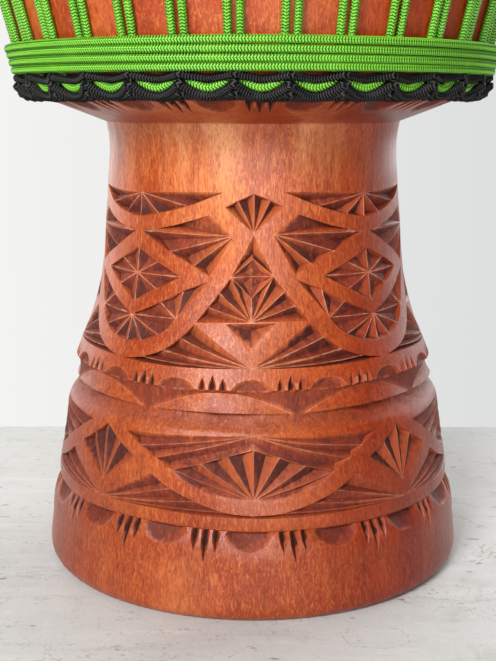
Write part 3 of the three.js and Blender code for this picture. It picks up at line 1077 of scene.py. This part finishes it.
def wood_grain(n):
    """The wood's noises, from broad to fine, and what each point of the shell knows of itself."""
    sway = n.add("ShaderNodeTexNoise", {"Vector": n.place((1, 1, 0.5)), "Scale": 22.0, "Detail": 3.0})
    wobble = n.add("ShaderNodeVectorMath", {0: sway.outputs["Color"], "Scale": 0.016}, operation="SCALE")
    upright = n.place((1, 1, 0.09), (0.05, 0.12, 0))
    swayed = n.add("ShaderNodeVectorMath", {0: upright, 1: wobble.outputs[0]}, operation="ADD").outputs[0]
    position = n.axes(n.place())
    return SimpleNamespace(
        cloud=n.noise(n.place((1, 1, 0.6)), 12, 3, 0.55, 0.6),
        swirl=n.noise(n.place((1, 1, 0.6), (0.35, 0.2, 0)), 15, 5, 0.62, 0.9),
        broad=n.noise(swayed, 36, 2, 0.5),
        streak=n.noise(swayed, 210, 4, 0.65),
        curl=n.noise(n.place((1, 1, 0.26)), 820, 4, 0.65, 1.0),
        fibre=n.noise(n.place((1, 1, 0.16)), 1100, 3, 0.7),
        across=position[0],
        height=position[2],
        depth=n.attribute("carved_depth"),
        carved=n.attribute("carved_tone"),
        slant=n.attribute("slant"),
    )


def plain_wood(n, g):
    """The uncut surface: a pale painted satin highlight under the bowl, swirls in the foot, then streaks
    and curl.
    """
    colour = n.mix(n.span(g.cloud, 0.38, 0.64), VARNISHED_RED, VARNISHED_ORANGE)
    # Painted highlight: pale satin patches on the stem's top, and only faintly on the bowl above 0.27 m.
    pale = n.times(n.span(g.height, 0.205, 0.25, smooth=True), n.span(g.broad, 0.58, 0.42))
    colour = n.mix(n.times(pale, n.span(g.height, 0.27, 0.29, 0.55, 0.10)), colour, PAINTED_SATIN_HIGHLIGHT)
    foot = n.span(g.height, 0.10, 0.04, 0.1, 0.45)
    return n.layers(
        colour,
        (g.swirl, 0.46, 0.70, PALE_FIGURE, foot),
        (g.swirl, 0.50, 0.30, DARK_FIGURE, foot),
        (g.broad, 0.42, 0.66, BROAD_SHADE, 0.55),
        (g.streak, 0.48, 0.70, DARK_STREAK, 0.5),
        (g.curl, 0.50, 0.64, BRIGHT_CURL, 0.42),
        (g.curl, 0.48, 0.35, DARK_CURL, 0.55))


def cut_wood(n, g, shaded):
    """Carved wood: a painted highlight where it slants one way round the drum, painted shade the other
    way.
    """
    colour = n.mix(n.span(g.streak, 0.36, 0.66), CUT_WOOD, CUT_STREAK)
    colour = n.layers(
        colour,
        (g.curl, 0.52, 0.66, CUT_CURL, 0.4),
        (g.slant, -0.06, -0.40, CUT_TO_LIGHT, 0.85))
    return n.mix(shaded, colour, CUT_TO_SHADE)


def painted_shade_and_tone(n, g, colour, shaded):
    """Darker low down, painted shade redder to the right and browner to the left, and under the bowl."""
    # Darker towards the bottom, eased on lit cut faces above the foot.
    low = n.span(g.height, 0.20, 0.05, smooth=True)
    lit_cut = n.times(g.carved, n.span(shaded, 0, 0.6, 1, 0))
    low_cut = n.times(n.times(low, lit_cut), n.span(g.height, 0.048, 0.051))
    low = n.times(low, n.span(low_cut, 0, 1, 0.8, 0.3))
    drift = n.math("ADD", g.across, n.times(n.math("SUBTRACT", g.cloud, 0.5), 0.12))
    # Painted shade towards the right, eased on lit cut faces low down.
    right_shade = n.times(n.span(drift, 0.004, 0.066), n.span(low_cut, 0, 1, 1.0, 0.4))
    # The first is painted shade, browner, on the left; the second is where the bowl's tint starts.
    left, bowl = n.span(drift, -0.040, -0.065), n.span(g.height, 0.27, 0.28)
    # Painted shade on the bowl's underside, which faces down.
    underside = n.times(n.span(g.height, 0.256, 0.258), n.span(g.height, 0.2705, 0.269))
    for mask, stain in ((low, LOW_DARKENING), (right_shade, PAINTED_SHADE_RIGHT), (left, PAINTED_SHADE_LEFT),
                        (bowl, BOWL_TINT), (underside, PAINTED_SHADE_UNDERSIDE)):
        colour = n.mix(mask, colour, stain, "MULTIPLY")
    return colour


def worn_edges(n, g):
    """Where handling has rubbed the ridges pale and a painted highlight lies on them, in patches, and less
    so near the floor.
    """
    near = n.span(n.attribute("worn_distance"), 0.34, 0.08, smooth=True)
    patches = n.span(n.noise(n.place(), 260, 3), 0.34, 0.62, 0.15, 0.60)
    return n.times(n.times(near, patches), n.span(g.height, 0.08, 0.12, 0.38, 1.0))


def wood_material():
    """Red-brown hardwood: curly upright grain, carved parts darker, ridges pale from wear and a painted
    highlight, satin varnish.
    """
    n = Nodes("wood")
    g = wood_grain(n)
    # Painted shade on carved faces that turn towards higher angles, rightwards at the front.
    shaded = n.times(n.span(g.slant, 0.06, 0.35), 0.9)
    colour = n.mix(g.carved, plain_wood(n, g), cut_wood(n, g, shaded))
    # Painted shade: almost black inside the notches, where the carved tone passes 1.
    colour = n.mix(n.span(g.carved, 1.0, 1.6), colour, NOTCH_PAINTED_SHADE)
    colour = n.layers(
        colour,
        # Painted shade: darker the deeper the cut.
        (g.depth, 1.2, 4.2, PAINTED_DEPTH_SHADE, 0.6),
        (g.fibre, 0.54, 0.72, FIBRE_BROWN, 0.35))
    colour = n.mix(worn_edges(n, g), painted_shade_and_tone(n, g, colour, shaded), WORN_AND_HIGHLIT_EDGE)
    rough = n.math("ADD", n.span(g.fibre, 0.2, 0.8, 0.26, 0.37), n.times(n.span(g.streak, 0.3, 0.7), 0.06))
    figure = n.bump(g.curl, 0.0005, 0.35, n.bump(g.streak, 0.0004, 0.5))
    n.surface(Base_Color=colour, Roughness=n.math("ADD", rough, n.times(g.carved, 0.4)),
              Specular_IOR_Level=0.38, Normal=n.bump(g.fibre, 0.00015, 0.6, figure))
    return n.material


HIDE_CREAM = (0.78, 0.68, 0.50)
HIDE_TAN = (0.60, 0.45, 0.27)
HIDE_SPOT = (0.42, 0.27, 0.15)
HIDE_SPINE = (0.33, 0.20, 0.11)
HIDE_PIT = (0.30, 0.20, 0.12)


def goatskin_material():
    """Cream rawhide with cloudy patches, a darker line along the spine, and fine hair pits."""
    n = Nodes("goatskin")
    place = n.place()
    cloud = n.noise(place, 14, 5, 0.6, 0.4)
    spots = n.noise(place, 45, 3, 0.6)
    pits = n.noise(place, 1400, 2, 0.6)
    spine = n.math("ADD", n.axes(place)[0], n.times(n.math("SUBTRACT", cloud, 0.5), 0.05))
    spine = n.span(n.math("ABSOLUTE", spine), 0.030, 0.004, smooth=True)
    colour = n.mix(n.span(cloud, 0.35, 0.68), HIDE_CREAM, HIDE_TAN)
    colour = n.layers(colour, (spots, 0.56, 0.72, HIDE_SPOT, 0.4))
    colour = n.mix(n.times(spine, 0.45), colour, HIDE_SPINE)
    colour = n.layers(colour, (pits, 0.56, 0.68, HIDE_PIT, 0.35))
    ripple = n.bump(cloud, 0.0006, 0.3)
    n.surface(Base_Color=colour, Roughness=n.span(cloud, 0.3, 0.7, 0.42, 0.58),
              Subsurface_Weight=0.12, Subsurface_Radius=(0.004, 0.002, 0.001),
              Normal=n.bump(pits, 0.0001, 0.6, ripple))
    return n.material


def cloth_material():
    """Black cotton with its weave and a little lint."""
    n = Nodes("wrap_cloth")
    place = n.place()
    lint = n.span(n.noise(place, 300, 4, 0.7), 0.45, 0.75)
    weave = n.noise(place, 2200, 2, 0.6)
    n.surface(Base_Color=n.mix(lint, (0.010, 0.010, 0.012), (0.045, 0.045, 0.05)),
              Roughness=0.9, Specular_IOR_Level=0.2, Normal=n.bump(weave, 0.0002, 0.7))
    return n.material


def steel_material():
    """Bent steel rod with drawn scratches and faint rust."""
    n = Nodes("steel")
    drawn = n.noise(n.place((1, 1, 8)), 300, 3, 0.6)
    rust = n.noise(n.place(), 60, 5, 0.7)
    bare, rusty = (0.42, 0.43, 0.45), (0.22, 0.09, 0.04)
    n.surface(Base_Color=n.layers(bare, (rust, 0.55, 0.7, rusty, 0.6)),
              Metallic=n.span(rust, 0.7, 0.55, 0.3, 1.0), Roughness=n.span(drawn, 0.3, 0.7, 0.3, 0.5),
              Normal=n.bump(drawn, 0.0001, 0.4))
    return n.material


def rope_material(name, light, dark, gloss, thin):
    """Braided cord: slanted stitches in rows that lean both ways, with painted shade where they dip."""
    n = Nodes(name)
    uv = n.add("ShaderNodeUVMap", uv_map="braid").outputs[0]
    u, v = n.axes(uv)[:2]
    across = n.math("ABSOLUTE", n.math("SUBTRACT", n.times(n.math("FRACT", u), 2), 1))
    lean = n.math("ADD", n.times(across, 0.5), n.math("ADD", v, 0.5))
    wave = n.math("COSINE", n.times(lean, 2 * math.pi))
    stripe = n.span(wave, thin, thin + 1.1, smooth=True)
    seam = n.span(n.math("ABSOLUTE", n.math("SUBTRACT", across, 0.5)), 0.5, 0.30, smooth=True)
    stitch = n.times(stripe, n.span(seam, 0, 1, 0.3, 1.0))
    fibre_place = n.add("ShaderNodeMapping", {"Vector": uv, "Scale": (6, 0.9, 1)}).outputs[0]
    fibre = n.noise(fibre_place, 3.0, 3, 0.7)
    wear = n.noise(n.place(), 120, 3)
    # Painted shade where the stitches dip; the crowns take the light colour.
    colour = n.layers(
        n.mix(stitch, dark, light),
        (fibre, 0.45, 0.7, dark, 0.3),
        (wear, 0.55, 0.8, light, 0.25))
    knots = n.bump(stitch, 0.0003, 0.5)
    n.surface(Base_Color=colour, Roughness=0.85 - gloss, Specular_IOR_Level=gloss,
              Normal=n.bump(fibre, 0.0001, 0.5, knots))
    return n.material


# ==== stage ====
TABLE_BACK = 1.91 * FOOT_RADIUS
SKY = (0.95, 0.97, 1.0, 1)
SKY_STRENGTH = 0.15
# Each lamp: its name, its place, what it points at, its size in metres and its power in watts.
LAMPS = [
    ("window", (-0.68, -1.50, 1.12), (0, 0, 0.25), 0.65, 37),
    ("doorway", (0.10, -1.60, 0.34), (0, 0, 0.25), 0.40, 10),
    ("left_wall", (-1.25, 1.35, 0.7), (0, 0, 0.2), 1.4, 9),
    ("right_wall", (1.25, 1.35, 0.9), (0, 0, 0.1), 1.6, 22),
]


def panel(name, reach, start, end):
    """A flat sheet of the set, as wide as its reach to both sides; its ends are (y, z)."""
    corners = [(-reach, *start), (reach, *start), (reach, *end), (-reach, *end)]
    return add_mesh(name, corners, [(0, 1, 2, 3)], smooth=False)


def studio():
    """A pale table in front of a bright wall, lit mostly from the front left."""
    floor = panel("floor", 1500, (-1500, 0), (TABLE_BACK, 0))
    wall = panel("backdrop", 6000, (2600, -3000), (2600, 5000))
    floor.data.materials.append(table_material())
    wall.data.materials.append(wall_material())
    world = bpy.data.worlds.new("studio")
    world.use_nodes = True
    background = world.node_tree.nodes["Background"]
    background.inputs["Color"].default_value = SKY
    background.inputs["Strength"].default_value = SKY_STRENGTH
    bpy.context.scene.world = world
    for lamp in LAMPS:
        soft_light(*lamp)


STONE_GREY = (0.57, 0.57, 0.55)
STONE_PALE = (0.66, 0.66, 0.64)
BRUSHED_DARK = (0.43, 0.42, 0.39)
BRUSHED_LIGHT = (0.76, 0.76, 0.75)
CRACK_BROWN = (0.28, 0.26, 0.23)
SCUFF_DARK = (0.38, 0.36, 0.34)
SCUFF_LIGHT = (0.70, 0.70, 0.69)
GRIT_GREY = (0.34, 0.33, 0.31)
PIT_BLACK = (0.16, 0.15, 0.14)
FAR_SHEEN = (0.78, 0.79, 0.755)


def table_material():
    """Worn pale stone: faint clouds, brush marks, small dark pits, cracks and grey scuffs."""
    n = Nodes("table")
    cloud = n.noise(n.place(), 9, 4)
    scuff = n.noise(n.place((1, 0.5, 1), (0, 0, 0.5)), 45, 6, 0.75, 0.8)
    grit = n.noise(n.place(), 420, 3, 0.7)
    pits = n.noise(n.place((0.5, 1.3, 1), (0, 0, 0.5)), 130, 2, 0.5)
    brushed = n.noise(n.place((0.25, 1.5, 1), (0, 0, 0.1)), 60, 5, 0.7, 0.5)
    vein = n.noise(n.place((1, 1.3, 1), (0, 0, 0.6)), 7, 5, 0.6, 1.5)
    from_vein = n.math("ABSOLUTE", n.math("SUBTRACT", vein, 0.5))
    crack = n.times(n.span(from_vein, 0.0055, 0.001), n.span(grit, 0.42, 0.54))
    away = n.span(n.axes(n.place())[1], -0.05, TABLE_BACK * MM, 0, 0.4)
    colour = n.layers(
        n.mix(n.span(cloud, 0.3, 0.7), STONE_GREY, STONE_PALE),
        (brushed, 0.52, 0.72, BRUSHED_DARK, 0.4),
        (brushed, 0.46, 0.28, BRUSHED_LIGHT, 0.5))
    colour = n.mix(n.times(crack, 0.7), colour, CRACK_BROWN)
    colour = n.layers(
        colour,
        (scuff, 0.56, 0.70, SCUFF_DARK, 0.35),
        (scuff, 0.44, 0.30, SCUFF_LIGHT, 0.5),
        (grit, 0.50, 0.72, GRIT_GREY, 0.25),
        (pits, 0.68, 0.72, PIT_BLACK, 0.7))
    colour = n.mix(away, colour, FAR_SHEEN)
    n.surface(Base_Color=colour, Roughness=n.span(scuff, 0.3, 0.7, 0.45, 0.65),
              Normal=n.bump(grit, 0.0002, 0.4))
    return n.material


def wall_material():
    """A glowing white wall, with painted shade: its glow is a little greyer to the right."""
    n = Nodes("backdrop")
    rightwards = n.span(n.axes(n.place())[0], -0.9, 0.9)
    n.surface(Base_Color=(0, 0, 0), Roughness=1.0, Specular_IOR_Level=0.0, Emission_Strength=1.0,
              Emission_Color=n.mix(rightwards, (0.92, 0.92, 0.905), (0.70, 0.72, 0.715)))
    return n.material


def soft_light(name, place, target, size, power):
    """A square lamp that the camera can't see."""
    light = bpy.data.lights.new(name, "AREA")
    light.shape = "SQUARE"
    light.size = size
    light.energy = power
    lamp = bpy.data.objects.new(name, light)
    lamp.location = place
    lamp.rotation_euler = (Vector(target) - Vector(place)).to_track_quat("-Z", "Y").to_euler()
    lamp.visible_camera = False
    bpy.context.scene.collection.objects.link(lamp)


CAMERA_DISTANCE = 5.39 * FOOT_RADIUS * MM
CAMERA_HEIGHT = 2.158 * FOOT_RADIUS * MM
CAMERA_PITCH = math.radians(11.6)
CAMERA_TURN = math.radians(0.25)
CAMERA_LENS = 61.6


def camera():
    """The photo's viewpoint: a little below the bottom ring's height, and tipped down."""
    data = bpy.data.cameras.new("camera")
    data.lens = CAMERA_LENS
    data.sensor_width = 36
    data.clip_start = 0.05
    eye = bpy.data.objects.new("camera", data)
    eye.location = (0, -CAMERA_DISTANCE, CAMERA_HEIGHT)
    eye.rotation_euler = (math.pi / 2 - CAMERA_PITCH, 0, CAMERA_TURN)
    bpy.context.scene.collection.objects.link(eye)
    bpy.context.scene.camera = eye


# ==== the pieces ====
# Crowns take the light colour, a painted highlight on the black cord; dips take the dark one as painted
# shade.
GREEN = {"light": (0.25, 0.68, 0.045), "dark": (0.005, 0.075, 0.002), "gloss": 0.35, "thin": -0.8}
BLACK = {"light": (0.066, 0.066, 0.064), "dark": (0.0004, 0.0004, 0.0004), "gloss": 0.12, "thin": -0.1}
CRADLE_NODES = ("lower_cradle_loops", "lower_cradle_strand", "upper_cradle_loops", "upper_cradle_strand")
WRAPS = [("crown_ring_wrap", CROWN_RING, 4.4), ("bottom_ring_wrap", BOTTOM_RING, 3.6)]


def finish_piece(obj, material, node):
    """Gives a piece its material, hangs it under the root, and hides the CAD node it stands for."""
    obj.data.materials.clear()
    obj.data.materials.append(material)
    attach(obj, "root")
    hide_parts(node)


def add_head():
    """The goatskin, given its material in place of the CAD skin."""
    head = build_skin()
    finish_piece(head, goatskin_material(), "drum_skin")


bpy.context.scene.view_settings.view_transform = "Standard"
camera()
studio()
finish_piece(build_shell(), wood_material(), "shell")
green = rope_material("green_rope", **GREEN)
black = rope_material("black_rope", **BLACK)
for stretch in lacing():
    finish_piece(stretch, green, "lacing_rope")
for rope, node in zip(build_cradles(), CRADLE_NODES):
    finish_piece(rope, black, node)
add_head()
cloth = cloth_material()
for node, ring, wrap in WRAPS:
    finish_piece(wound_cloth(node + "_cloth", ring, wrap), cloth, node)
steel = steel_material()
for node in ("flesh_ring", "crown_ring", "bottom_ring"):
    ring = bpy.data.objects[node]
    ring.data.materials.clear()
    ring.data.materials.append(steel)
